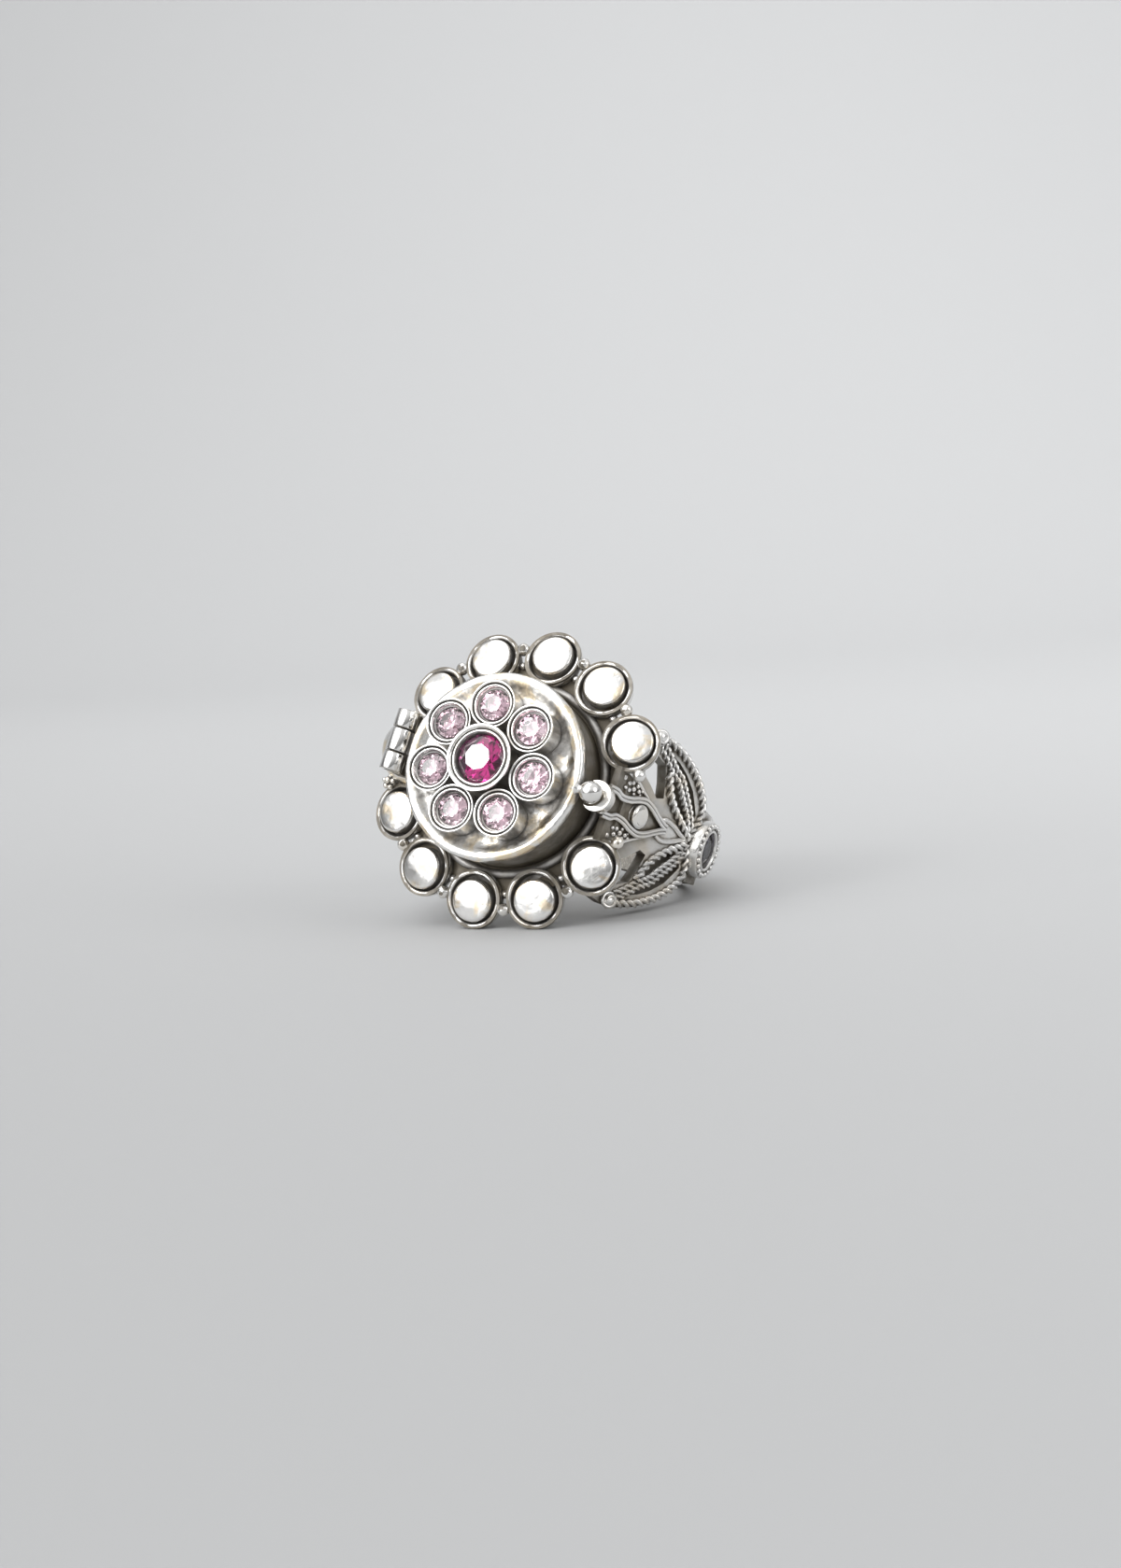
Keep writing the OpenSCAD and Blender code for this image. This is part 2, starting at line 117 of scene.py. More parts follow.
def modified(piece, kind, settings):
    hold(piece)
    bpy.ops.object.modifier_add(type=kind)
    modifier = piece.modifiers[-1]
    for key, value in settings.items():
        setattr(modifier, key, value)
    bpy.ops.object.modifier_apply(modifier=modifier.name)


def turned(name, rings, sides=48, tube=False):
    # A piece turned on the z axis: one ring, then one extrusion for each (radius, height).
    letGo()
    radius, height = rings[0]
    bpy.ops.mesh.primitive_circle_add(vertices=sides, radius=radius, location=(0, 0, height),
        fill_type="NOTHING" if tube else "NGON")
    piece = bpy.context.view_layer.objects.active
    piece.name = name
    bpy.ops.object.transform_apply()
    editAll(piece)
    for newRadius, newHeight in rings[1:]:
        bpy.ops.mesh.extrude_region_move(
            TRANSFORM_OT_translate={"value": (0, 0, newHeight - height)})
        ratio = newRadius / radius
        bpy.ops.transform.resize(value=(ratio, ratio, 1), center_override=(0, 0, newHeight))
        radius, height = newRadius, newHeight
    if tube:
        bpy.ops.mesh.select_all(action="DESELECT")
        bpy.ops.mesh.select_mode(type="EDGE")
        bpy.ops.mesh.select_non_manifold()
        bpy.ops.mesh.bridge_edge_loops()
    bpy.ops.mesh.select_all(action="SELECT")
    bpy.ops.mesh.remove_doubles(threshold=0.004)
    bpy.ops.mesh.normals_make_consistent(inside=False)
    letGo()
    return piece


def copied(piece, place):
    twin = piece.copy()
    twin.data = piece.data.copy()
    bpy.context.scene.collection.objects.link(twin)
    twin.matrix_world = place @ piece.matrix_world
    return twin


def joined(name, pieces):
    hold(*pieces)
    if len(pieces) > 1:
        bpy.ops.object.join()
    bpy.ops.object.transform_apply()
    whole = bpy.context.view_layer.objects.active
    whole.name = name
    return whole


def thrownAway(piece):
    letGo()
    bpy.data.objects.remove(piece)


def handworked(piece, depth, grain):
    # Hammer and file leave no true surface: a soft cloud moves it by depth over grain millimetres.
    cloud = bpy.data.textures.new(piece.name + "Unevenness", "CLOUDS")
    cloud.noise_scale = grain
    modified(piece, "DISPLACE", {"texture": cloud, "texture_coords": "LOCAL", "strength": depth})


def finished(piece, finish, body, smooth=40, stands=()):
    hold(piece)
    bpy.ops.object.shade_smooth_by_angle(angle=math.radians(smooth))
    piece.matrix_world = headPlace @ piece.matrix_world
    bpy.ops.object.transform_apply()
    piece.data.name = piece.name
    piece.data.materials.clear()
    piece.data.materials.append(finish)
    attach(piece, body)
    if stands:
        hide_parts(*stands)
    return piece


def aroundFinger(angle, radius, along):
    turn = math.radians(angle)
    return Vector((radius * math.sin(turn), along, -fromFinger["headUp"] + radius * math.cos(turn)))


def standing(angle, radius, along=0.0):
    return Matrix.Translation(aroundFinger(angle, radius, along)) \
        @ Matrix.Rotation(math.radians(angle), 4, "Y")


def eased(points, steps=6):
    # A smooth line through the points, each a tuple of the same length.
    ends = [points[0], *points, points[-1]]
    line = []
    for i in range(len(points) - 1):
        a, b, c, d = ends[i:i + 4]
        for k in range(steps):
            t = k / steps
            line.append(tuple(0.5 * (2 * q + (r - p) * t + (2 * p - 5 * q + 4 * r - s) * t * t
                + (3 * q - p - 3 * r + s) * t ** 3) for p, q, r, s in zip(a, b, c, d)))
    return [*line, tuple(points[-1])]


def lineOf(name, points, closed=False):
    data = bpy.data.curves.new(name, "CURVE")
    data.dimensions = "3D"
    data.twist_mode = "MINIMUM"
    spline = data.splines.new("POLY")
    spline.points.add(len(points) - 1)
    for spot, point in zip(spline.points, points):
        spot.co = (*point, 1)
    spline.use_cyclic_u = closed
    line = bpy.data.objects.new(name, data)
    bpy.context.scene.collection.objects.link(line)
    return line


def wire(name, points, radius, closed=False, ends=1.0):
    # Round wire along the points; ends is the share of its thickness that is left at both tips.
    line = lineOf(name, points, closed)
    line.data.bevel_depth = radius
    line.data.bevel_resolution = 2
    line.data.use_fill_caps = True
    spots = line.data.splines[0].points
    for i, spot in enumerate(spots):
        fromEnd = min(i, len(spots) - 1 - i) / max(1, 0.25 * len(spots))
        spot.radius = 1 if closed else min(1, ends + (1 - ends) * fromEnd)
    hold(line)
    bpy.ops.object.convert(target="MESH")
    return bpy.context.view_layer.objects.active


def rope(name, points, look):
    # Two round strands side by side, twisted, then laid along the points.
    length = sum((b - a).length for a, b in zip(points, points[1:]))
    count = max(8, round(length / look["pitch"] * look["stepsPerPitch"]))
    step = length / count
    letGo()
    bpy.ops.mesh.primitive_cylinder_add(vertices=look["sides"], radius=look["strand"], depth=step,
        end_fill_type="NOTHING", rotation=(0, math.pi / 2, 0), location=(step / 2, look["apart"], 0))
    piece = bpy.context.view_layer.objects.active
    piece.name = name
    bpy.ops.object.transform_apply()
    modified(piece, "ARRAY", {"count": count, "use_merge_vertices": True, "merge_threshold": 0.002})
    editAll(piece)
    bpy.ops.mesh.fill_holes(sides=0)
    letGo()
    modified(piece, "MIRROR", {"use_axis": (False, True, False), "use_mirror_merge": False})
    modified(piece, "SIMPLE_DEFORM", {"deform_method": "TWIST", "deform_axis": "X",
        "angle": math.tau * length / look["pitch"]})
    guide = lineOf(name + "Guide", points)
    modified(piece, "CURVE", {"object": guide, "deform_axis": "POS_X"})
    thrownAway(guide)
    return piece


# Finishes
def linear(code):
    parts = [int(code[i:i + 2], 16) / 255 for i in (1, 3, 5)]
    return (*[c / 12.92 if c <= 0.04045 else ((c + 0.055) / 1.055) ** 2.4 for c in parts], 1)


def addNode(tree, kind, settings=None, inputs=None):
    node = tree.nodes.new(kind)
    for key, value in (settings or {}).items():
        setattr(node, key, value)
    for key, value in (inputs or {}).items():
        if isinstance(value, bpy.types.NodeSocket):
            tree.links.new(value, node.inputs[key])
        else:
            node.inputs[key].default_value = value
    return node


perMetre = 1000.0  # a pattern of one cycle a millimetre in the frame's metres
headOut = headPlace.to_3x3().col[2].normalized()
headLevel = headOut.dot(headPlace.translation)


patina = {
    "cloudFrom": 0.35, "cloudTo": 0.65,    # the noise's range that thins the stain
    "stainThick": 1.06, "stainThin": 0.86,
    "warmFrom": 0.46, "warmTo": 0.66,      # the noise's range that turns silver to cream
    "matt": 0.62, "metalLeft": 0.55,       # roughness of a whole film, and the metal that shows in it
    "dentHeight": 0.1, "scratchHeight": 0.02,  # mm
}


def oxidisedSilver(name, look):
    # Oxidised sterling silver: cast and soldered, blackened with liver of sulphur, then polished,
    # so raised metal is bright and slightly warm while every hollow keeps a matt brown-grey film.
    # The stain is the film that the brush never reached, on the side towards the head. The band
    # and its wires far below the head are cleaner.
    material = bpy.data.materials.new(name)
    material.use_nodes = True
    tree = material.node_tree
    tree.nodes.clear()
    spot = addNode(tree, "ShaderNodeTexCoord").outputs["Object"]
    hollow = addNode(tree, "ShaderNodeAmbientOcclusion", {"samples": 8},
        {"Distance": look["hollow"] / perMetre})
    blotch = addNode(tree, "ShaderNodeTexNoise", None, {"Vector": spot, "Detail": 4.0,
        "Scale": perMetre / look["blotch"], "Roughness": 0.6})
    shade = addNode(tree, "ShaderNodeMath", {"operation": "MULTIPLY_ADD"},
        {0: blotch.outputs["Fac"], 1: look["ragged"], 2: hollow.outputs["AO"]})
    pooled = addNode(tree, "ShaderNodeMapRange", {"interpolation_type": "SMOOTHSTEP"},
        {"Value": shade.outputs[0], "From Min": look["dark"] + 0.5 * look["ragged"],
         "From Max": look["bright"] + 0.5 * look["ragged"], "To Min": look["film"], "To Max": 0.0})
    height = addNode(tree, "ShaderNodeVectorMath", {"operation": "DOT_PRODUCT"},
        {0: spot, 1: headOut})
    stain = addNode(tree, "ShaderNodeMapRange", {"interpolation_type": "SMOOTHSTEP"},
        {"Value": height.outputs["Value"], "From Min": headLevel + look["stainFrom"] / perMetre,
         "From Max": headLevel + look["stainTo"] / perMetre, "To Min": 0.0,
         "To Max": look["stain"]})
    worn = addNode(tree, "ShaderNodeMapRange", None, {"Value": blotch.outputs["Fac"],
        "From Min": patina["cloudFrom"], "From Max": patina["cloudTo"],
        "To Min": patina["stainThick"], "To Max": patina["stainThin"]})
    stained = addNode(tree, "ShaderNodeMath", {"operation": "MULTIPLY"},
        {0: stain.outputs[0], 1: worn.outputs[0]})
    film = addNode(tree, "ShaderNodeMath", {"operation": "MAXIMUM"},
        {0: pooled.outputs[0], 1: stained.outputs[0]})
    warmth = addNode(tree, "ShaderNodeTexNoise", None, {"Vector": spot, "Detail": 3.0,
        "Scale": perMetre / look["warmPatch"], "Distortion": 0.6})
    warm = addNode(tree, "ShaderNodeMapRange", {"interpolation_type": "SMOOTHSTEP"},
        {"Value": warmth.outputs["Fac"], "From Min": patina["warmFrom"],
         "From Max": patina["warmTo"], "To Min": 0.0, "To Max": look["warm"]})
    metal = addNode(tree, "ShaderNodeMix", {"data_type": "RGBA"}, {"Factor": warm.outputs[0],
        "A": linear(look["silver"]), "B": linear(look["cream"])})
    tarnish = addNode(tree, "ShaderNodeMix", {"data_type": "RGBA"}, {"Factor": blotch.outputs["Fac"],
        "A": linear(look["tarnish"]), "B": linear(look["paleTarnish"])})
    colour = addNode(tree, "ShaderNodeMix", {"data_type": "RGBA"}, {"Factor": film.outputs[0],
        "A": metal.outputs["Result"], "B": tarnish.outputs["Result"]})
    rough = addNode(tree, "ShaderNodeMapRange", None, {"Value": film.outputs[0],
        "To Min": look["polish"], "To Max": patina["matt"]})
    shine = addNode(tree, "ShaderNodeMapRange", None, {"Value": film.outputs[0],
        "To Min": 1.0, "To Max": patina["metalLeft"]})
    dent = addNode(tree, "ShaderNodeTexNoise", None, {"Vector": spot, "Detail": 2.0,
        "Scale": perMetre / look["dent"]})
    dents = addNode(tree, "ShaderNodeBump", None, {"Height": dent.outputs["Fac"],
        "Strength": look["dentDepth"], "Distance": patina["dentHeight"] / perMetre})
    scratch = addNode(tree, "ShaderNodeTexNoise", None, {"Vector": spot, "Detail": 6.0,
        "Scale": perMetre / look["scratch"], "Roughness": 0.7})
    scratches = addNode(tree, "ShaderNodeBump", None, {"Height": scratch.outputs["Fac"],
        "Strength": look["scratchDepth"], "Distance": patina["scratchHeight"] / perMetre,
        "Normal": dents.outputs["Normal"]})
    metalShader = addNode(tree, "ShaderNodeBsdfPrincipled", None, {
        "Base Color": colour.outputs["Result"], "Metallic": shine.outputs[0],
        "Roughness": rough.outputs[0], "Normal": scratches.outputs["Normal"]})
    addNode(tree, "ShaderNodeOutputMaterial", None, {"Surface": metalShader.outputs[0]})
    return material


silverBase = {
    "silver": "#F1F0EE", "cream": "#EFDAB4", "tarnish": "#4B4743", "paleTarnish": "#8C8781",
    "hollow": 0.7,       # mm of space that a hollow is judged by
    "dark": 0.4, "bright": 0.88,  # openness at which the film is whole, and gone
    "film": 0.96, "ragged": 0.45,
    "stain": 0.0, "stainFrom": -6.5, "stainTo": -2.5,  # its most, and mm from the head's zero
    "blotch": 0.7, "warmPatch": 2.4, "warm": 0.3,
    "polish": 0.2,
    "dent": 1.1, "dentDepth": 0.35,
    "scratch": 0.12, "scratchDepth": 0.3,
}
bandFinish = oxidisedSilver("castSilverBand", {**silverBase, "hollow": 2.2, "polish": 0.26,
    "dark": 0.52, "bright": 0.93, "stainFrom": -8.5, "stain": 0.86, "blotch": 1.5,
    "tarnish": "#443D31", "paleTarnish": "#776D5A"})
buttonFinish = oxidisedSilver("burnishedSilverButtons", {**silverBase, "polish": 0.17, "hollow": 0.5,
    "warm": 0.7, "warmPatch": 1.4, "dent": 1.2, "dentDepth": 0.45, "film": 0.85})
cupFinish = oxidisedSilver("spunSilverCups", {**silverBase, "hollow": 0.7, "polish": 0.24,
    "dark": 0.36, "bright": 0.7, "ragged": 0.55, "blotch": 0.5})
ridgeFinish = oxidisedSilver("dullSilverRidge", {**silverBase, "hollow": 1.1, "polish": 0.3,
    "dark": 0.5, "bright": 0.95, "stain": 0.6})
ropeFinish = oxidisedSilver("twistedSilverWire", {**silverBase, "hollow": 0.5, "polish": 0.26,
    "dark": 0.34, "bright": 0.65, "film": 0.92})
lidFinish = oxidisedSilver("beatenSilverLid", {**silverBase, "hollow": 1.5, "warm": 0.8,
    "warmPatch": 1.3, "polish": 0.24, "dentDepth": 0.8, "dent": 0.8, "dark": 0.4, "bright": 0.82,
    "blotch": 0.45, "ragged": 0.7})
bezelFinish = oxidisedSilver("drawnSilverBezels", {**silverBase, "hollow": 0.35, "polish": 0.15,
    "warm": 0.15, "dark": 0.4, "bright": 0.8})
knuckleFinish = oxidisedSilver("turnedSilverKnuckles", {**silverBase, "hollow": 0.2, "polish": 0.07,
    "warm": 0.1, "film": 0.6, "dentDepth": 0.35, "scratchDepth": 0.12})


# Painted shade on a stone: the way it darkens in the head's axes, and where it starts and is whole
paintedShadeZone = {"towards": (-0.89, 0.14, 0.0), "from": 0.05, "to": 0.5}  # mm from the stone's middle


def cutGem(name, look):
    # Cut stone, transparent, with a faint drift of colour through it. Where the look asks for it,
    # painted shade darkens the colour on the side towards the hinge, for the dark that a lit stone
    # shows there.
    material = bpy.data.materials.new(name)
    material.use_nodes = True
    tree = material.node_tree
    tree.nodes.clear()
    spot = addNode(tree, "ShaderNodeTexCoord").outputs["Object"]
    drift = addNode(tree, "ShaderNodeTexNoise", None, {"Vector": spot, "Detail": 2.0,
        "Scale": perMetre / look["zone"]})
    colour = addNode(tree, "ShaderNodeMix", {"data_type": "RGBA"}, {"Factor": drift.outputs["Fac"],
        "A": linear(look["colour"]), "B": linear(look["paler"])})
    # Painted shade: a dark colour mixed in towards the hinge, for the dark that light leaving the stone
    # shows
    if "paintedShade" in look:
        towards = (headPlace.to_3x3() @ Vector(paintedShadeZone["towards"])).normalized()
        middle = towards.dot(headPlace @ Vector(look["centre"]))
        aside = addNode(tree, "ShaderNodeVectorMath", {"operation": "DOT_PRODUCT"},
            {0: spot, 1: towards})
        paintedShadeMask = addNode(tree, "ShaderNodeMapRange", {"interpolation_type": "SMOOTHSTEP"},
            {"Value": aside.outputs["Value"], "From Min": middle + paintedShadeZone["from"] / perMetre,
             "From Max": middle + paintedShadeZone["to"] / perMetre, "To Min": 0.0, "To Max": look["share"]})
        colour = addNode(tree, "ShaderNodeMix", {"data_type": "RGBA"}, {"Factor": paintedShadeMask.outputs[0],
            "A": colour.outputs["Result"], "B": linear(look["paintedShade"])})
    shader = addNode(tree, "ShaderNodeBsdfPrincipled", None, {
        "Base Color": colour.outputs["Result"], "Roughness": 0.01, "IOR": look["ior"],
        "Transmission Weight": 1.0})
    addNode(tree, "ShaderNodeOutputMaterial", None, {"Surface": shader.outputs[0]})
    return material


# The ruby's dark hinge side is painted shade
rubyFinish = cutGem("rubyStone", {"colour": "#E80F90", "paler": "#FF55B4", "ior": 1.77,
    "zone": 1.2, "paintedShade": "#120B0F", "share": 1.0, "centre": (0, 0, 5.3)})
pinkLook = {"colour": "#F5BDD4", "paler": "#FBE2EB", "ior": 2.05, "zone": 0.9}
pinkFinish = cutGem("palePinkZirconia", pinkLook)
pinksWithPaintedShade = {3: 0.8, 4: 0.9, 5: 0.9, 6: 0.5}  # the stones towards the hinge that get painted shade, and each one's share of it
# the colour of the pinks' painted shade
pinkPaintedShade = "#372F33"
lavenderFinish = cutGem("lavenderStone", {"colour": "#ABA4C6", "paler": "#CFC9E0", "ior": 1.6,
    "zone": 1.0})
print("finishes made")

for nodeName in ("ring_body", "hinge_pin"):
    node = frame["nodes"][nodeName]
    node.data.materials.clear()
    node.data.materials.append(bandFinish)

# Ten cups with a polished button in each, round the box
petal = {
    "angles": (30, 60, 90, 120, 150, 210, 240, 270, 300, 330),
    "ring": 8.8, "height": -0.454, "lean": 13, "buttonShift": 0.12,
    "bowl": 2.075,
    "cupLip": ((2.065, -0.09), (2.035, 0.01), (1.985, 0.09), (1.915, 0.145), (1.835, 0.16),
        (1.77, 0.125), (1.725, 0.05), (1.705, -0.08), (1.695, -0.4), (1.64, -0.58), (1.5, -0.63),
        (0.8, -0.64), (0.002, -0.64)),
    "button": ((0.9, -0.7), (1.42, -0.66), (1.46, -0.5), (1.465, -0.1), (1.465, 0.22), (1.45, 0.3),
        (1.41, 0.352), (1.34, 0.384), (1.2, 0.408), (1.0, 0.43), (0.75, 0.449), (0.5, 0.462),
        (0.25, 0.469), (0.002, 0.47)),
    "cupUneven": 0.09, "buttonUneven": 0.07, "uneven": 1.0,
}


def petalPlace(angle, shift=0.0):
    return Matrix.Rotation(math.radians(angle), 4, "Z") \
        @ Matrix.Translation((petal["ring"], 0, petal["height"])) \
        @ Matrix.Rotation(math.radians(petal["lean"]), 4, "Y") @ Matrix.Translation((shift, 0, 0))


def makePetals():
    bowl = petal["bowl"]
    arc = [(max(0.002, bowl * math.sin(math.radians(a))), -bowl * math.cos(math.radians(a)))
        for a in (0, 6, 14, 22, 31, 40, 49, 58, 67, 76, 84)]
    cup = turned("petalCups", [*arc, *petal["cupLip"]], 56)
    button = turned("petalButtons", petal["button"], 48)
    cups = [copied(cup, petalPlace(a)) for a in petal["angles"]]
    buttons = [copied(button, petalPlace(a, petal["buttonShift"])) for a in petal["angles"]]
    thrownAway(cup)
    thrownAway(button)
    cups = joined("petalCups", cups)
    buttons = joined("petalButtons", buttons)
    handworked(cups, petal["cupUneven"], petal["uneven"])
    handworked(buttons, petal["buttonUneven"], petal["uneven"])
    finished(cups, cupFinish, "ring")
    finished(buttons, buttonFinish, "ring")


makePetals()
print("petals made")

# Solder grains in the notches, the ridge wire round the box and the grains behind the hinge
grains = {
    "ring": 9.25, "height": -0.454, "size": 0.46, "innerRing": 8.1, "innerHeight": -0.62,
    "innerSize": 0.27,
    "flattened": 0.9, "uneven": 0.08, "unevenGrain": 0.35,
    "ridgeRing": 6.75, "ridgeHeight": -0.583, "ridgeWire": 0.3, "ridgeUneven": 0.07,
    "ridgeGrain": 0.8,
    "cluster": ((9.45, 195.5, 0.02, 0.25), (9.72, 197.2, -0.3, 0.24), (9.62, 194.0, -0.62, 0.26),
        (9.3, 198.5, -0.05, 0.2), (9.72, 195.2, -0.05, 0.2), (9.55, 197.5, -0.75, 0.22),
        (9.25, 193.5, 0.02, 0.19), (9.05, 196.0, 0.06, 0.2)),
}


def makeGrains():
    letGo()
    bpy.ops.mesh.primitive_ico_sphere_add(subdivisions=3, radius=1)
    seed = bpy.context.view_layer.objects.active
    spots = []
    for i in range(12):
        angle = 15 + 30 * i
        spots.append((grains["ring"], angle, grains["height"], grains["size"]))
        spots.append((grains["innerRing"], angle, grains["innerHeight"], grains["innerSize"]))
    pieces = []
    for ring, angle, height, size in [*spots, *grains["cluster"]]:
        place = Matrix.Rotation(math.radians(angle), 4, "Z") @ Matrix.Translation((ring, 0, height))
        pieces.append(copied(seed, place @ Matrix.Diagonal(
            (size, size, size * grains["flattened"], 1))))
    thrownAway(seed)
    beads = joined("solderGrains", pieces)
    handworked(beads, grains["uneven"], grains["unevenGrain"])
    finished(beads, cupFinish, "ring")
    letGo()
    bpy.ops.mesh.primitive_torus_add(major_radius=grains["ridgeRing"], minor_radius=grains["ridgeWire"],
        major_segments=180, minor_segments=14, location=(0, 0, grains["ridgeHeight"]))
    ridge = bpy.context.view_layer.objects.active
    ridge.name = "ridgeWire"
    bpy.ops.object.transform_apply()
    handworked(ridge, grains["ridgeUneven"], grains["ridgeGrain"])
    finished(ridge, ridgeFinish, "ring")


makeGrains()
print("grains and ridge wire made")

# The shoulders' ropes: degrees from the head, then millimetres along the finger
shoulder = {
    "ropeHeight": 10.17,
    "outer": ((49, 6.3), (53, 6.02), (60, 5.66), (67, 5.1), (74, 4.35), (81, 3.35), (84.6, 2.6),
        (84.8, 1.8), (82.8, 1.0), (80.3, 0.2)),
    "middle": ((52, 5.5), (56.5, 4.85), (61, 4.15), (65.5, 3.7), (70.5, 2.75), (76.5, 1.68),
        (80, 0.75)),
    "inner": ((58.2, 3.95), (60.8, 2.85), (64, 2.0), (70, 1.15), (76, 0.55), (80, 0.1)),
    "spread": 0.21,
    "wire": ((61.5, 0.55), (65, 0.75), (70, 0.55), (75, 0.2), (80, 0.0)),
    "wireSize": 0.2,
    "middleSunk": 0.02, "wireSunk": 0.03,  # below the other ropes, mm
    "tip": (50, 5.98, 0.52), "tipHeight": 10.1,
    "curl": 0.62, "curlHeight": 10.12, "curlRise": 0.5, "curlWire": 0.14,
    "curlTurns": 1.6, "curlClosing": 0.6, "curlPoints": 30,
    "uneven": 0.05, "unevenGrain": 0.6,
}
ropeLook = {"strand": 0.19, "apart": 0.155, "pitch": 1.2, "stepsPerPitch": 12, "sides": 8}
fineRope = {"strand": 0.14, "apart": 0.115, "pitch": 0.95, "stepsPerPitch": 10, "sides": 8}


def onBand(points, side, flip, height, shift=0.0):
    line = eased(points)
    out = []
    for i, (angle, along) in enumerate(line):
        ahead, behind = line[min(i + 1, len(line) - 1)], line[max(i - 1, 0)]
        run = math.radians(ahead[0] - behind[0]) * height
        rise = ahead[1] - behind[1]
        size = math.hypot(run, rise) or 1
        out.append(aroundFinger(side * (angle - math.degrees(rise / size * shift / height)), height,
            flip * (along + run / size * shift)))
    return out


def makeShoulders():
    ropes, wires = [], []
    high, apart = shoulder["ropeHeight"], shoulder["spread"]
    last = shoulder["curlPoints"] - 1
    for side in (1, -1):
        for flip in (1, -1):
            ropes.append(rope("outerRope", onBand(shoulder["outer"], side, flip, high), ropeLook))
            for shift in (-apart, apart):
                ropes.append(rope("middleRope",
                    onBand(shoulder["middle"], side, flip, high - shoulder["middleSunk"], shift),
                    fineRope))
            ropes.append(rope("innerRope",
                onBand(shoulder["inner"], side, flip, high, 0.5 * apart), ropeLook))
            wires.append(wire("centreWire",
                onBand(shoulder["wire"], side, flip, high - shoulder["wireSunk"]),
                shoulder["wireSize"], ends=0.7))
            angle, along, size = shoulder["tip"]
            letGo()
            bpy.ops.mesh.primitive_uv_sphere_add(segments=24, ring_count=16, radius=size,
                location=aroundFinger(side * angle, shoulder["tipHeight"], flip * along))
            wires.append(bpy.context.view_layer.objects.active)
            curl = []
            for i in range(shoulder["curlPoints"]):
                turn = i / last * shoulder["curlTurns"] * math.tau
                reach = shoulder["curl"] * (1 - shoulder["curlClosing"] * i / last)
                curl.append(aroundFinger(side * (angle + math.degrees(reach * math.cos(turn) / high)),
                    shoulder["curlHeight"] + shoulder["curlRise"] * i / last,
                    flip * (along - reach * math.sin(turn))))
            wires.append(wire("tipCurl", curl, shoulder["curlWire"], ends=0.6))
    finished(joined("shoulderRopes", ropes), ropeFinish, "ring", smooth=50)
    wires = joined("shoulderWires", wires)
    handworked(wires, shoulder["uneven"], shoulder["unevenGrain"])
    finished(wires, ropeFinish, "ring", smooth=50)


makeShoulders()
print("shoulders made")

# The framed boss below the catch, and its twin below the hinge, drawn in the pointed plate's own axes
framed = {
    "top": 7.3, "foot": (62, 10.0), "half": 6.3, "plate": 0.55,
    "wave": ((-0.14, 0.15), (0, 0.145), (0.1, 0.11), (0.25, 0.125), (0.38, 0.165), (0.52, 0.185),
        (0.66, 0.15), (0.8, 0.085), (0.92, 0.035), (0.99, 0.02)),
    "edge": ((0.1, 0.4), (0.3, 0.355), (0.46, 0.28), (0.62, 0.2), (0.8, 0.11), (0.99, 0.02)),
    "waveWire": 0.14, "waveSpread": 0.13, "waveHeight": 0.8,
    "edgeWire": 0.16, "edgeHeight": 0.58,
    "bossAt": 0.48,
    "boss": ((0.95, 0.3), (0.95, 0.58), (0.92, 0.62), (0.89, 0.62), (0.875, 0.66), (0.87, 0.82),
        (0.85, 0.92), (0.78, 1.0), (0.65, 1.06), (0.45, 1.105), (0.2, 1.13), (0.002, 1.135)),
    "beads": ((0.2, 0.22, 0.18), (0.27, 0.25, 0.2), (0.33, 0.3, 0.17), (0.37, 0.25, 0.18),
        (0.43, 0.27, 0.15), (0.3, 0.2, 0.14), (0.24, 0.31, 0.16), (0.18, 0.29, 0.17),
        (0.14, 0.23, 0.15), (0.41, 0.22, 0.12)),
    "beadOut": 0.4,  # of a bead's radius, how far its middle stands out of the plate
    "uneven": 0.03, "unevenGrain": 0.5,
}


def makeFramedBosses():
    pieces = []
    foot = aroundFinger(*framed["foot"], 0)
    run = Vector((foot.x - framed["top"], 0, foot.z))
    length = run.length
    for side in (1, -1):
        x = Vector((side * run.x / length, 0, run.z / length))
        z = Vector((-side * run.z / length, 0, run.x / length))
        top = Vector((side * framed["top"], 0, 0))

        def spot(share, across, height):
            return top + share * length * x + Vector((0, across, 0)) + height * z

        for flip in (1, -1):
            for shift in (-framed["waveSpread"], framed["waveSpread"]):
                points = [spot(a, flip * (b * framed["half"] + shift), framed["waveHeight"])
                    for a, b in eased(framed["wave"])]
                pieces.append(wire("waveWire", points, framed["waveWire"]))
            points = [spot(a, flip * b * framed["half"], framed["edgeHeight"])
                for a, b in eased(framed["edge"])]
            pieces.append(wire("edgeWire", points, framed["edgeWire"], ends=0.7))
            for share, across, size in framed["beads"]:
                letGo()
                bpy.ops.mesh.primitive_ico_sphere_add(subdivisions=3, radius=size,
                    location=spot(share, flip * across * framed["half"],
                        framed["plate"] + framed["beadOut"] * size))
                pieces.append(bpy.context.view_layer.objects.active)
        boss = turned("boss", framed["boss"], 40)
        axes = Matrix((x, z.cross(x), z)).transposed().to_4x4()
        boss.matrix_world = Matrix.Translation(spot(framed["bossAt"], 0, 0)) @ axes
        pieces.append(boss)
    whole = joined("framedBosses", pieces)
    handworked(whole, framed["uneven"], framed["unevenGrain"])
    finished(whole, bezelFinish, "ring", smooth=50)


makeFramedBosses()
print("framed bosses made")

# The side settings: a collar, a row of beads and a ledge round each lavender stone
sideSetting = {
    "angle": 93, "top": 10.85, "beads": 22, "beadRing": 1.8, "beadSize": 0.21, "beadHeight": 0.07,
    "collar": ((1.288, -0.45), (1.29, 0.0), (1.31, 0.1), (1.36, 0.17), (1.44, 0.18), (1.52, 0.12),
        (1.56, 0.03), (1.98, 0.03), (2.06, 0.0), (2.09, -0.08), (2.09, -0.72), (2.0, -0.78)),
    "uneven": 0.03, "unevenGrain": 0.4,
}


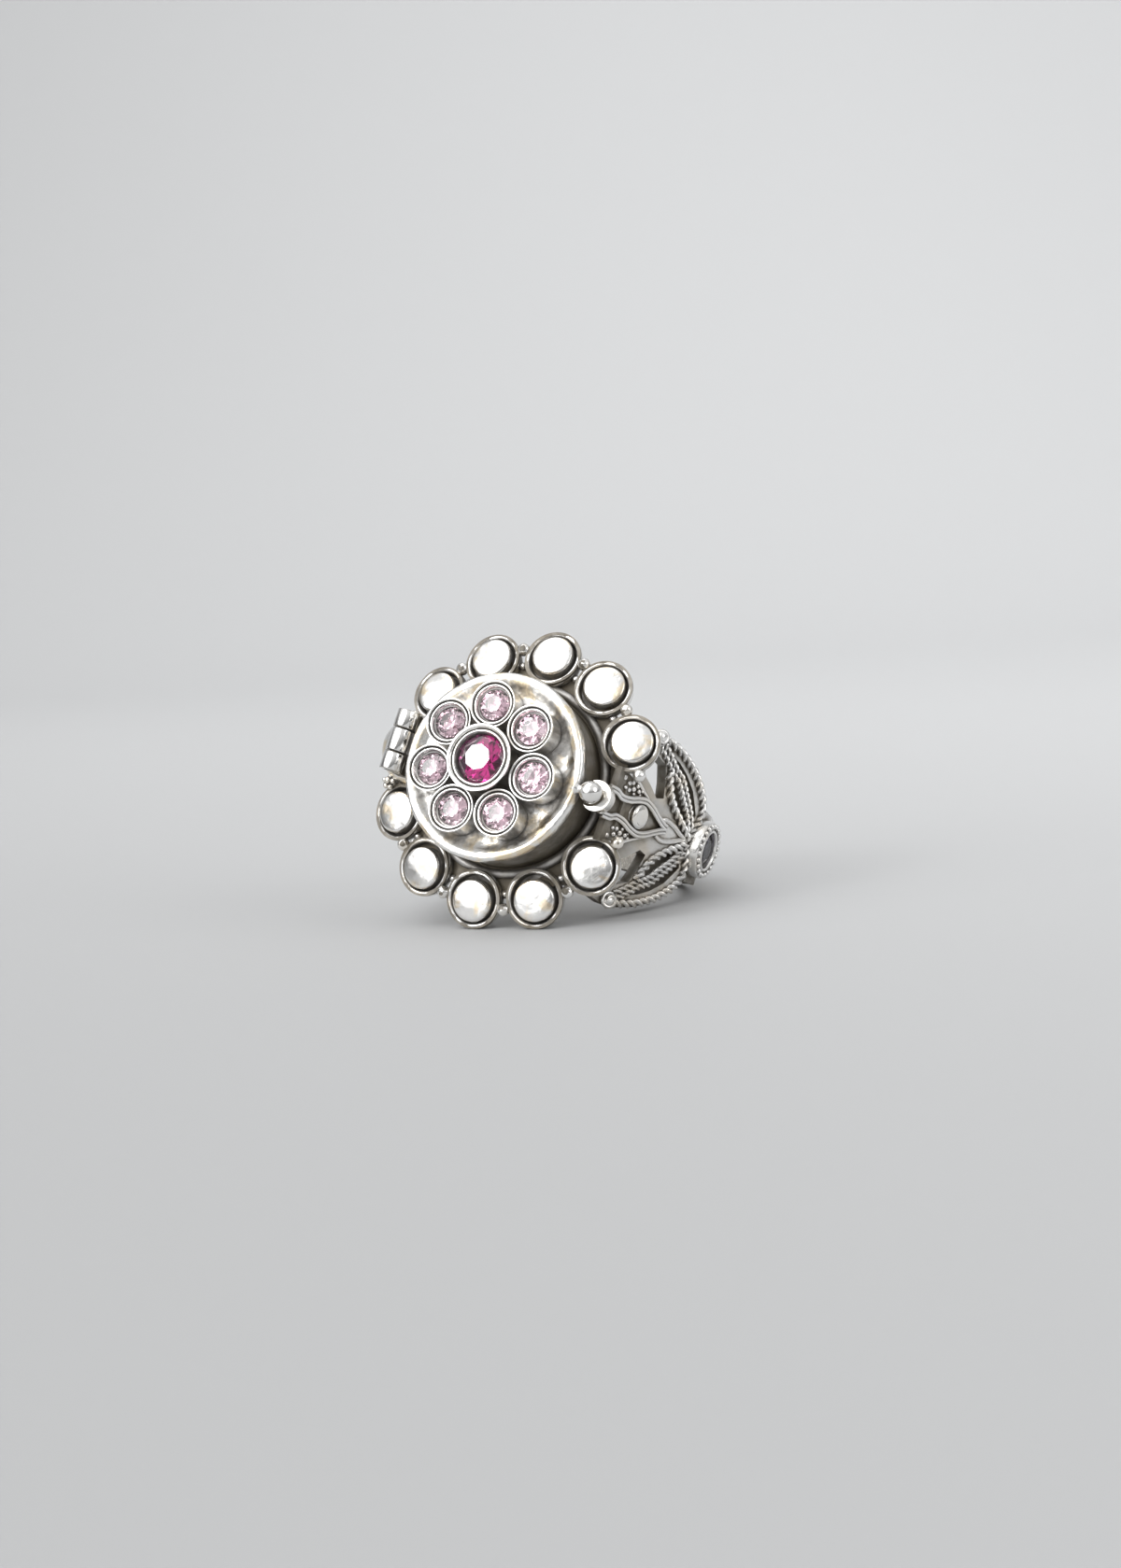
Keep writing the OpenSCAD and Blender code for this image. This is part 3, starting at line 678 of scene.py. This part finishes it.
def makeSideSettings():
    pieces = []
    for side in (1, -1):
        place = standing(side * sideSetting["angle"], sideSetting["top"])
        collar = turned("collar", sideSetting["collar"], 56, tube=True)
        collar.matrix_world = place
        pieces.append(collar)
        for i in range(sideSetting["beads"]):
            turn = math.tau * i / sideSetting["beads"]
            letGo()
            bpy.ops.mesh.primitive_ico_sphere_add(subdivisions=2, radius=sideSetting["beadSize"])
            bead = bpy.context.view_layer.objects.active
            ring = sideSetting["beadRing"]
            bead.matrix_world = place @ Matrix.Translation((ring * math.cos(turn),
                ring * math.sin(turn), sideSetting["beadHeight"]))
            pieces.append(bead)
    whole = joined("sideSettings", pieces)
    handworked(whole, sideSetting["uneven"], sideSetting["unevenGrain"])
    finished(whole, bezelFinish, "ring", smooth=50)


makeSideSettings()
print("side settings made")

# The hinge's outer knuckles and the crescent catch
hinge = {
    "back": -7.495, "up": 3.0875, "inner": 0.905, "length": 1.265,
    "barrel": ((0.46, 0.0), (0.7, 0.0), (0.77, 0.03), (0.797, 0.09), (0.797, 1.175), (0.77, 1.235),
        (0.7, 1.265), (0.46, 1.265)),
    "middleHalf": 0.8,
    "middle": ((0.44, 0.0), (0.68, 0.0), (0.75, 0.03), (0.775, 0.09), (0.775, 1.51), (0.75, 1.57),
        (0.68, 1.6), (0.44, 1.6)),
    "bowl": 2.63, "bowlPlace": (-7.75, 0, -0.6), "boxSide": -6.2,
    "bowlUneven": 0.06, "bowlGrain": 1.2,
}
crescent = {
    "at": 7.561, "radius": 1.07, "hollow": 0.845, "shift": -0.38,
    "low": 1.385, "floor": 1.765, "high": 2.215, "round": 0.06,
}


def makeHinge():
    pieces = []
    for side in (1, -1):
        barrel = turned("barrel", hinge["barrel"], 48, tube=True)
        start = hinge["inner"] if side > 0 else -hinge["inner"] - hinge["length"]
        barrel.matrix_world = Matrix.Translation((hinge["back"], start, hinge["up"])) \
            @ Matrix.Rotation(-math.pi / 2, 4, "X")
        pieces.append(barrel)
    finished(joined("outerKnuckles", pieces), knuckleFinish, "ring")
    letGo()
    bpy.ops.mesh.primitive_uv_sphere_add(segments=56, ring_count=28, radius=hinge["bowl"],
        location=hinge["bowlPlace"])
    bowl = bpy.context.view_layer.objects.active
    bowl.name = "hingeBowl"
    bpy.ops.object.transform_apply()
    editAll(bowl)
    bpy.ops.mesh.bisect(plane_co=(hinge["boxSide"], 0, 0), plane_no=(1, 0, 0), use_fill=True,
        clear_outer=True)
    letGo()
    handworked(bowl, hinge["bowlUneven"], hinge["bowlGrain"])
    finished(bowl, buttonFinish, "ring")


def makeCrescent():
    height = crescent["high"] - crescent["low"]
    middle = (crescent["high"] + crescent["low"]) / 2
    letGo()
    bpy.ops.mesh.primitive_cylinder_add(vertices=64, radius=crescent["hollow"], depth=2,
        location=(crescent["at"] + crescent["shift"], 0, crescent["floor"] + 1))
    cutter = bpy.context.view_layer.objects.active
    letGo()
    bpy.ops.mesh.primitive_cylinder_add(vertices=64, radius=crescent["radius"], depth=height,
        location=(crescent["at"], 0, middle))
    piece = bpy.context.view_layer.objects.active
    piece.name = "crescentCatch"
    modified(piece, "BOOLEAN", {"object": cutter, "operation": "DIFFERENCE"})
    thrownAway(cutter)
    bpy.ops.object.transform_apply()
    modified(piece, "BEVEL", {"width": crescent["round"], "segments": 3, "angle_limit": 0.9})
    finished(piece, bezelFinish, "ring")


makeHinge()
makeCrescent()
print("hinge and catch made")

# The lid: a beaten dish with a rolled rim, its knuckle and the ball that snaps at the catch
lid = {
    "dish": ((0.3, 2.45), (6.3, 2.45), (6.48, 2.47), (6.57, 2.55), (6.6, 2.68), (6.6, 3.0),
        (6.585, 3.12), (6.53, 3.22), (6.43, 3.285), (6.3, 3.31), (6.14, 3.305), (6.0, 3.27),
        (5.86, 3.2), (5.74, 3.11), (5.6, 3.02), (5.42, 2.965), (5.2, 2.95), (4.9, 2.975), (4.4, 3.06),
        (3.8, 3.17), (3.2, 3.28), (2.4, 3.4), (1.6, 3.48), (0.8, 3.52), (0.002, 3.53)),
    "uneven": 0.09, "unevenGrain": 1.3,
    "tongue": (-6.95, 0, 2.64), "tongueSize": (1.3, 1.58, 0.36), "tongueRound": 0.06,
    "ballAt": 7.561, "ballUp": 3.2225, "ball": 0.775,
    "neck": ((0.42, -1.08), (0.36, -0.98), (0.31, -0.88), (0.3, -0.8), (0.32, -0.72)),
}


def makeLid():
    dish = turned("lidDish", lid["dish"], 128)
    handworked(dish, lid["uneven"], lid["unevenGrain"])
    finished(dish, lidFinish, "lid", smooth=60, stands=["lid"])
    barrel = turned("barrel", hinge["middle"], 48, tube=True)
    barrel.matrix_world = Matrix.Translation((hinge["back"], -hinge["middleHalf"], hinge["up"])) \
        @ Matrix.Rotation(-math.pi / 2, 4, "X")
    letGo()
    bpy.ops.mesh.primitive_cube_add(size=1, location=lid["tongue"], scale=lid["tongueSize"])
    tongue = bpy.context.view_layer.objects.active
    bpy.ops.object.transform_apply()
    modified(tongue, "BEVEL", {"width": lid["tongueRound"], "segments": 3})
    finished(joined("lidKnuckle", [barrel, tongue]), knuckleFinish, "lid")
    arc = [(lid["ball"] * math.sin(math.radians(a)), -lid["ball"] * math.cos(math.radians(a)))
        for a in range(30, 180, 10)]
    ball = turned("snapBall", [*lid["neck"], *arc, (0.002, lid["ball"])], 40)
    ball.matrix_world = Matrix.Translation((lid["ballAt"], 0, lid["ballUp"])) \
        @ Matrix.Rotation(math.pi / 2, 4, "Y")
    finished(ball, knuckleFinish, "lid")


makeLid()
print("lid made")

# Bezels: a flared outer wall, a groove, and the inner collar that holds the stone
bezel = {
    "count": 7, "turn": -4, "ring": 3.9, "top": 5.0, "tallTop": 5.7,
    "turnEach": 0.7,  # radians, so that no two have the same dents in the same place
    "uneven": 0.035, "unevenGrain": 0.9,
    "small": ((1.46, -2.05), (1.5, -1.95), (1.52, -1.4), (1.56, -0.9), (1.61, -0.45), (1.65, -0.16),
        (1.662, -0.07), (1.648, -0.015), (1.605, 0.005), (1.555, -0.01), (1.52, -0.06),
        (1.5, -0.16), (1.485, -0.32), (1.45, -0.34), (1.43, -0.2), (1.4, -0.11), (1.35, -0.075),
        (1.29, -0.085), (1.25, -0.15), (1.23, -0.3), (1.19, -0.4), (1.12, -0.42), (1.092, -0.47),
        (1.088, -0.6), (0.9, -0.9), (0.3, -1.45), (0.002, -1.6)),
    "tall": ((1.98, -2.7), (2.03, -2.6), (2.05, -2.0), (2.06, -1.35), (2.1, -1.0), (2.22, -0.55),
        (2.33, -0.18), (2.358, -0.08), (2.335, -0.015), (2.27, 0.005), (2.18, -0.01), (2.1, -0.05),
        (2.05, -0.14), (2.02, -0.26), (1.985, -0.27), (1.965, -0.16), (1.93, -0.08), (1.87, -0.06),
        (1.81, -0.09), (1.775, -0.18), (1.755, -0.3), (1.72, -0.39), (1.685, -0.42), (1.67, -0.6),
        (1.4, -0.95), (0.4, -1.85), (0.002, -2.05)),
}


def smallPlace(i):
    turn = math.radians(bezel["turn"] + 360 / bezel["count"] * i)
    return Vector((bezel["ring"] * math.cos(turn), bezel["ring"] * math.sin(turn), bezel["top"]))


def makeBezels():
    seed = turned("seed", bezel["small"], 48)
    pieces = []
    for i in range(bezel["count"]):
        pieces.append(copied(seed, Matrix.Translation(smallPlace(i))
            @ Matrix.Rotation(bezel["turnEach"] * i, 4, "Z")))
    thrownAway(seed)
    tall = turned("tall", bezel["tall"], 56)
    tall.matrix_world = Matrix.Translation((0, 0, bezel["tallTop"]))
    whole = joined("stoneBezels", [*pieces, tall])
    handworked(whole, bezel["uneven"], bezel["unevenGrain"])
    finished(whole, bezelFinish, "lid", smooth=50)


makeBezels()
print("bezels made")

# Round brilliant cuts, sawn facet by facet
cut = {"table": 0.56, "crown": 34.0, "pavilion": 41.0, "girdle": 0.04, "star": 20.0, "sink": 0.42,
    "upperHalf": 40.5, "lowerHalf": 42.3}


def brilliant(name, size):
    radius = size / 2
    tableRadius = cut["table"] * radius
    half = cut["girdle"] * radius
    crown = half + (radius - tableRadius) * math.tan(math.radians(cut["crown"]))
    deep = half + radius * math.tan(math.radians(cut["pavilion"]))
    letGo()
    bpy.ops.mesh.primitive_cylinder_add(vertices=64, radius=radius, depth=crown + deep,
        location=(0, 0, (crown - deep) / 2))
    piece = bpy.context.view_layer.objects.active
    piece.name = name
    bpy.ops.object.transform_apply()
    editAll(piece)
    facets = []
    for i in range(8):
        main, between = 45 * i, 45 * i + 22.5
        facets.append((main, radius, half, cut["crown"]))
        facets.append((between, tableRadius * math.cos(math.radians(22.5)), crown, cut["star"]))
        facets.append((main, radius, -half, 180 - cut["pavilion"]))
        for turn in (main + 11.25, main + 33.75):
            facets.append((turn, radius, half, cut["upperHalf"]))
            facets.append((turn, radius, -half, 180 - cut["lowerHalf"]))
    for turn, reach, height, slope in facets:
        angle, lean = math.radians(turn), math.radians(slope)
        bpy.ops.mesh.select_all(action="SELECT")
        bpy.ops.mesh.bisect(plane_co=(reach * math.cos(angle), reach * math.sin(angle), height),
            plane_no=(math.sin(lean) * math.cos(angle), math.sin(lean) * math.sin(angle),
                math.cos(lean)), use_fill=True, clear_outer=True)
    bpy.ops.mesh.select_all(action="SELECT")
    bpy.ops.mesh.remove_doubles(threshold=0.002)
    letGo()
    return piece


stones = {
    "ruby": 3.3, "pink": 2.14, "side": 2.56,  # diameters
    "leanFrom": 0.07, "leanTo": 0.1, "wander": 25,  # radians outwards, and degrees to either side
    "turnEach": 0.9,
}


def makeStones():
    random.seed(3)
    small = brilliant("small", stones["pink"])
    for i in range(bezel["count"]):
        spot = smallPlace(i) - Vector((0, 0, cut["sink"]))
        turn = math.radians(bezel["turn"] + 360 / bezel["count"] * i
            + random.uniform(-stones["wander"], stones["wander"]))
        lean = Matrix.Rotation(random.uniform(stones["leanFrom"], stones["leanTo"]), 4,
            (-math.sin(turn), math.cos(turn), 0))
        stone = copied(small, Matrix.Translation(spot) @ lean
            @ Matrix.Rotation(stones["turnEach"] * i, 4, "Z"))
        stone.name = f"pinkStone{i + 1}"
        finish = pinkFinish
        if i in pinksWithPaintedShade:
            # these pinks get painted shade on the hinge side
            finish = cutGem(f"smokyPinkZirconia{i + 1}", {**pinkLook, "paintedShade": pinkPaintedShade,
                "share": pinksWithPaintedShade[i], "centre": spot})
        finished(stone, finish, "lid", smooth=1,
            stands=[f"pink_stone_{i + 1}"])
    thrownAway(small)
    ruby = brilliant("rubyStone", stones["ruby"])
    ruby.matrix_world = Matrix.Translation((0, 0, bezel["tallTop"] - cut["sink"]))
    finished(ruby, rubyFinish, "lid", smooth=1, stands=["ruby"])
    side = brilliant("sideStone", stones["side"])
    for sign, word in ((1, "right"), (-1, "left")):
        stone = copied(side, standing(sign * sideSetting["angle"], sideSetting["top"] - cut["sink"]))
        stone.name = "sideStone" + word.capitalize()
        finished(stone, lavenderFinish, "ring", smooth=1,
            stands=["side_stone_" + word])
    thrownAway(side)


makeStones()
print("stones cut and set")

# A pale seamless sweep, and soft studio light
studio = {
    "azimuth": 22.5, "front": 3.0, "behind": 0.55, "wide": 12.0, "tall": 1.1, "sweep": 0.3,
    "paper": "#E2E3E4",
    # Painted light falloff in the paper's colour: its share near the camera and at the back and where
    # those end, in metres, then the painted shade on the far left and the painted light on the right
    "nearShade": 0.63, "farShade": 0.887, "shadeFrom": -0.14, "shadeTo": 0.17,
    "leftPaintedShade": -0.28, "rightPaintedLight": 0.01, "lossFrom": -0.3, "gainTo": 0.12,
    "skyTop": 0.8, "skyLow": 0.24, "skyFrom": 0.7,  # the sky is whole above this share of its height
    "tooth": 2, "toothHeight": 0.1, "toothShare": 0.05,  # the paper's grain, mm and strength
    "aimHeight": 0.01,
    "lights": (  # name, place, diameter, brightness of its face
        ("keySoftbox", (-0.33, -0.66, 0.47), 1.1, 1.28),
        ("topSoftbox", (-0.16, -0.1, 0.8), 0.7, 1.2),
        ("sideSoftbox", (0.75, -0.2, 0.35), 0.55, 1.6),
    ),
    # Two lamps that the ruby's table mirrors: distance, diameter, brightness
    "glints": ((0.74, 0.1, 14), (0.8, 0.32, 3)),
}


def makeStudio():
    letGo()
    depth = studio["front"] + studio["behind"]
    bpy.ops.mesh.primitive_plane_add(size=1, location=(0, (studio["behind"] - studio["front"]) / 2, 0))
    floor = bpy.context.view_layer.objects.active
    floor.name = "paperSweep"
    floor.scale = (studio["wide"], depth, 1)
    bpy.ops.object.transform_apply()
    bpy.ops.object.mode_set(mode="EDIT")
    bpy.ops.mesh.select_all(action="DESELECT")
    bpy.ops.object.mode_set(mode="OBJECT")
    for edge in floor.data.edges:
        edge.select = all(floor.data.vertices[v].co.y > studio["behind"] - 0.001 for v in edge.vertices)
    bpy.ops.object.mode_set(mode="EDIT")
    bpy.ops.mesh.select_mode(type="EDGE")
    bpy.ops.mesh.extrude_region_move(TRANSFORM_OT_translate={"value": (0, 0, studio["tall"])})
    bpy.ops.object.mode_set(mode="OBJECT")
    for edge in floor.data.edges:
        edge.select = all(floor.data.vertices[v].co.y > studio["behind"] - 0.001
            and floor.data.vertices[v].co.z < 0.001 for v in edge.vertices)
    bpy.ops.object.mode_set(mode="EDIT")
    bpy.ops.mesh.bevel(offset=studio["sweep"], segments=24)
    letGo()
    hold(floor)
    bpy.ops.object.shade_smooth_by_angle(angle=math.radians(40))
    floor.matrix_world = Matrix.Rotation(math.radians(studio["azimuth"]), 4, "Z")
    bpy.ops.object.transform_apply()
    paper = bpy.data.materials.new("mattPaper")  # matt background paper with a barely seen tooth, its colour graded by painted light falloff
    paper.use_nodes = True
    tree = paper.node_tree
    tree.nodes.clear()
    spot = addNode(tree, "ShaderNodeTexCoord").outputs["Object"]
    tooth = addNode(tree, "ShaderNodeTexNoise", None, {"Vector": spot,
        "Scale": perMetre / studio["tooth"], "Detail": 3.0})
    bump = addNode(tree, "ShaderNodeBump", None, {"Height": tooth.outputs["Fac"],
        "Strength": studio["toothShare"], "Distance": studio["toothHeight"] / perMetre})
    # Painted light falloff: the paper's colour is darker near the camera and on the far left, paler at
    # the back and right
    parts = addNode(tree, "ShaderNodeSeparateXYZ", None, {"Vector": spot})
    paintedFalloff = addNode(tree, "ShaderNodeMapRange", {"interpolation_type": "SMOOTHSTEP"},
        {"Value": parts.outputs["Y"], "From Min": studio["shadeFrom"], "From Max": studio["shadeTo"],
         "To Min": studio["nearShade"], "To Max": studio["farShade"]})
    turn = math.radians(studio["azimuth"])
    across = addNode(tree, "ShaderNodeVectorMath", {"operation": "DOT_PRODUCT"},
        {0: spot, 1: (math.cos(turn), math.sin(turn), 0)})
    aside = addNode(tree, "ShaderNodeMapRange", {"interpolation_type": "SMOOTHSTEP"},
        {"Value": across.outputs["Value"], "From Min": studio["lossFrom"], "From Max": studio["gainTo"],
         "To Min": studio["leftPaintedShade"], "To Max": studio["rightPaintedLight"]})
    shade = addNode(tree, "ShaderNodeMath", {"operation": "ADD"},
        {0: aside.outputs[0], 1: paintedFalloff.outputs[0]})
    paintedLightTone = addNode(tree, "ShaderNodeVectorMath", {"operation": "SCALE"},
        {0: linear(studio["paper"])[:3], "Scale": shade.outputs[0]})
    shader = addNode(tree, "ShaderNodeBsdfPrincipled", None, {"Base Color": paintedLightTone.outputs["Vector"],
        "Roughness": 0.7, "Normal": bump.outputs["Normal"]})
    addNode(tree, "ShaderNodeOutputMaterial", None, {"Surface": shader.outputs[0]})
    floor.data.materials.append(paper)
    table = headPlace @ Vector((0, 0, bezel["tallTop"]))
    seen = (camera.matrix_world.translation - table).normalized()
    mirrored = 2 * seen.dot(headOut) * headOut - seen
    glints = [("tableGlint", table + reach * mirrored, size, bright)
        for reach, size, bright in studio["glints"]]
    for name, place, size, bright in (*studio["lights"], *glints):
        data = bpy.data.lights.new(name, "AREA")
        data.shape = "DISK"
        data.size = size
        data.energy = bright * math.pi * math.pi * size * size / 4
        light = bpy.data.objects.new(name, data)
        light.location = place
        aim = Vector((0, 0, studio["aimHeight"])) - Vector(place)
        light.rotation_euler = aim.to_track_quat("-Z", "Y").to_euler()
        light.visible_camera = False
        bpy.context.scene.collection.objects.link(light)
    world = bpy.data.worlds.new("studioAir")
    world.use_nodes = True
    tree = world.node_tree
    tree.nodes.clear()
    way = addNode(tree, "ShaderNodeTexCoord").outputs["Generated"]
    parts = addNode(tree, "ShaderNodeSeparateXYZ", None, {"Vector": way})
    height = addNode(tree, "ShaderNodeMapRange", {"interpolation_type": "SMOOTHSTEP"},
        {"Value": parts.outputs["Z"], "From Min": 0.0, "From Max": studio["skyFrom"],
         "To Min": studio["skyLow"], "To Max": studio["skyTop"]})
    air = addNode(tree, "ShaderNodeBackground", None, {"Color": (1.0, 1.0, 1.0, 1.0),
        "Strength": height.outputs[0]})
    addNode(tree, "ShaderNodeOutputWorld", None, {"Surface": air.outputs[0]})
    bpy.context.scene.world = world
    bpy.context.scene.view_settings.view_transform = "Standard"


makeStudio()
print("studio set")

letGo()
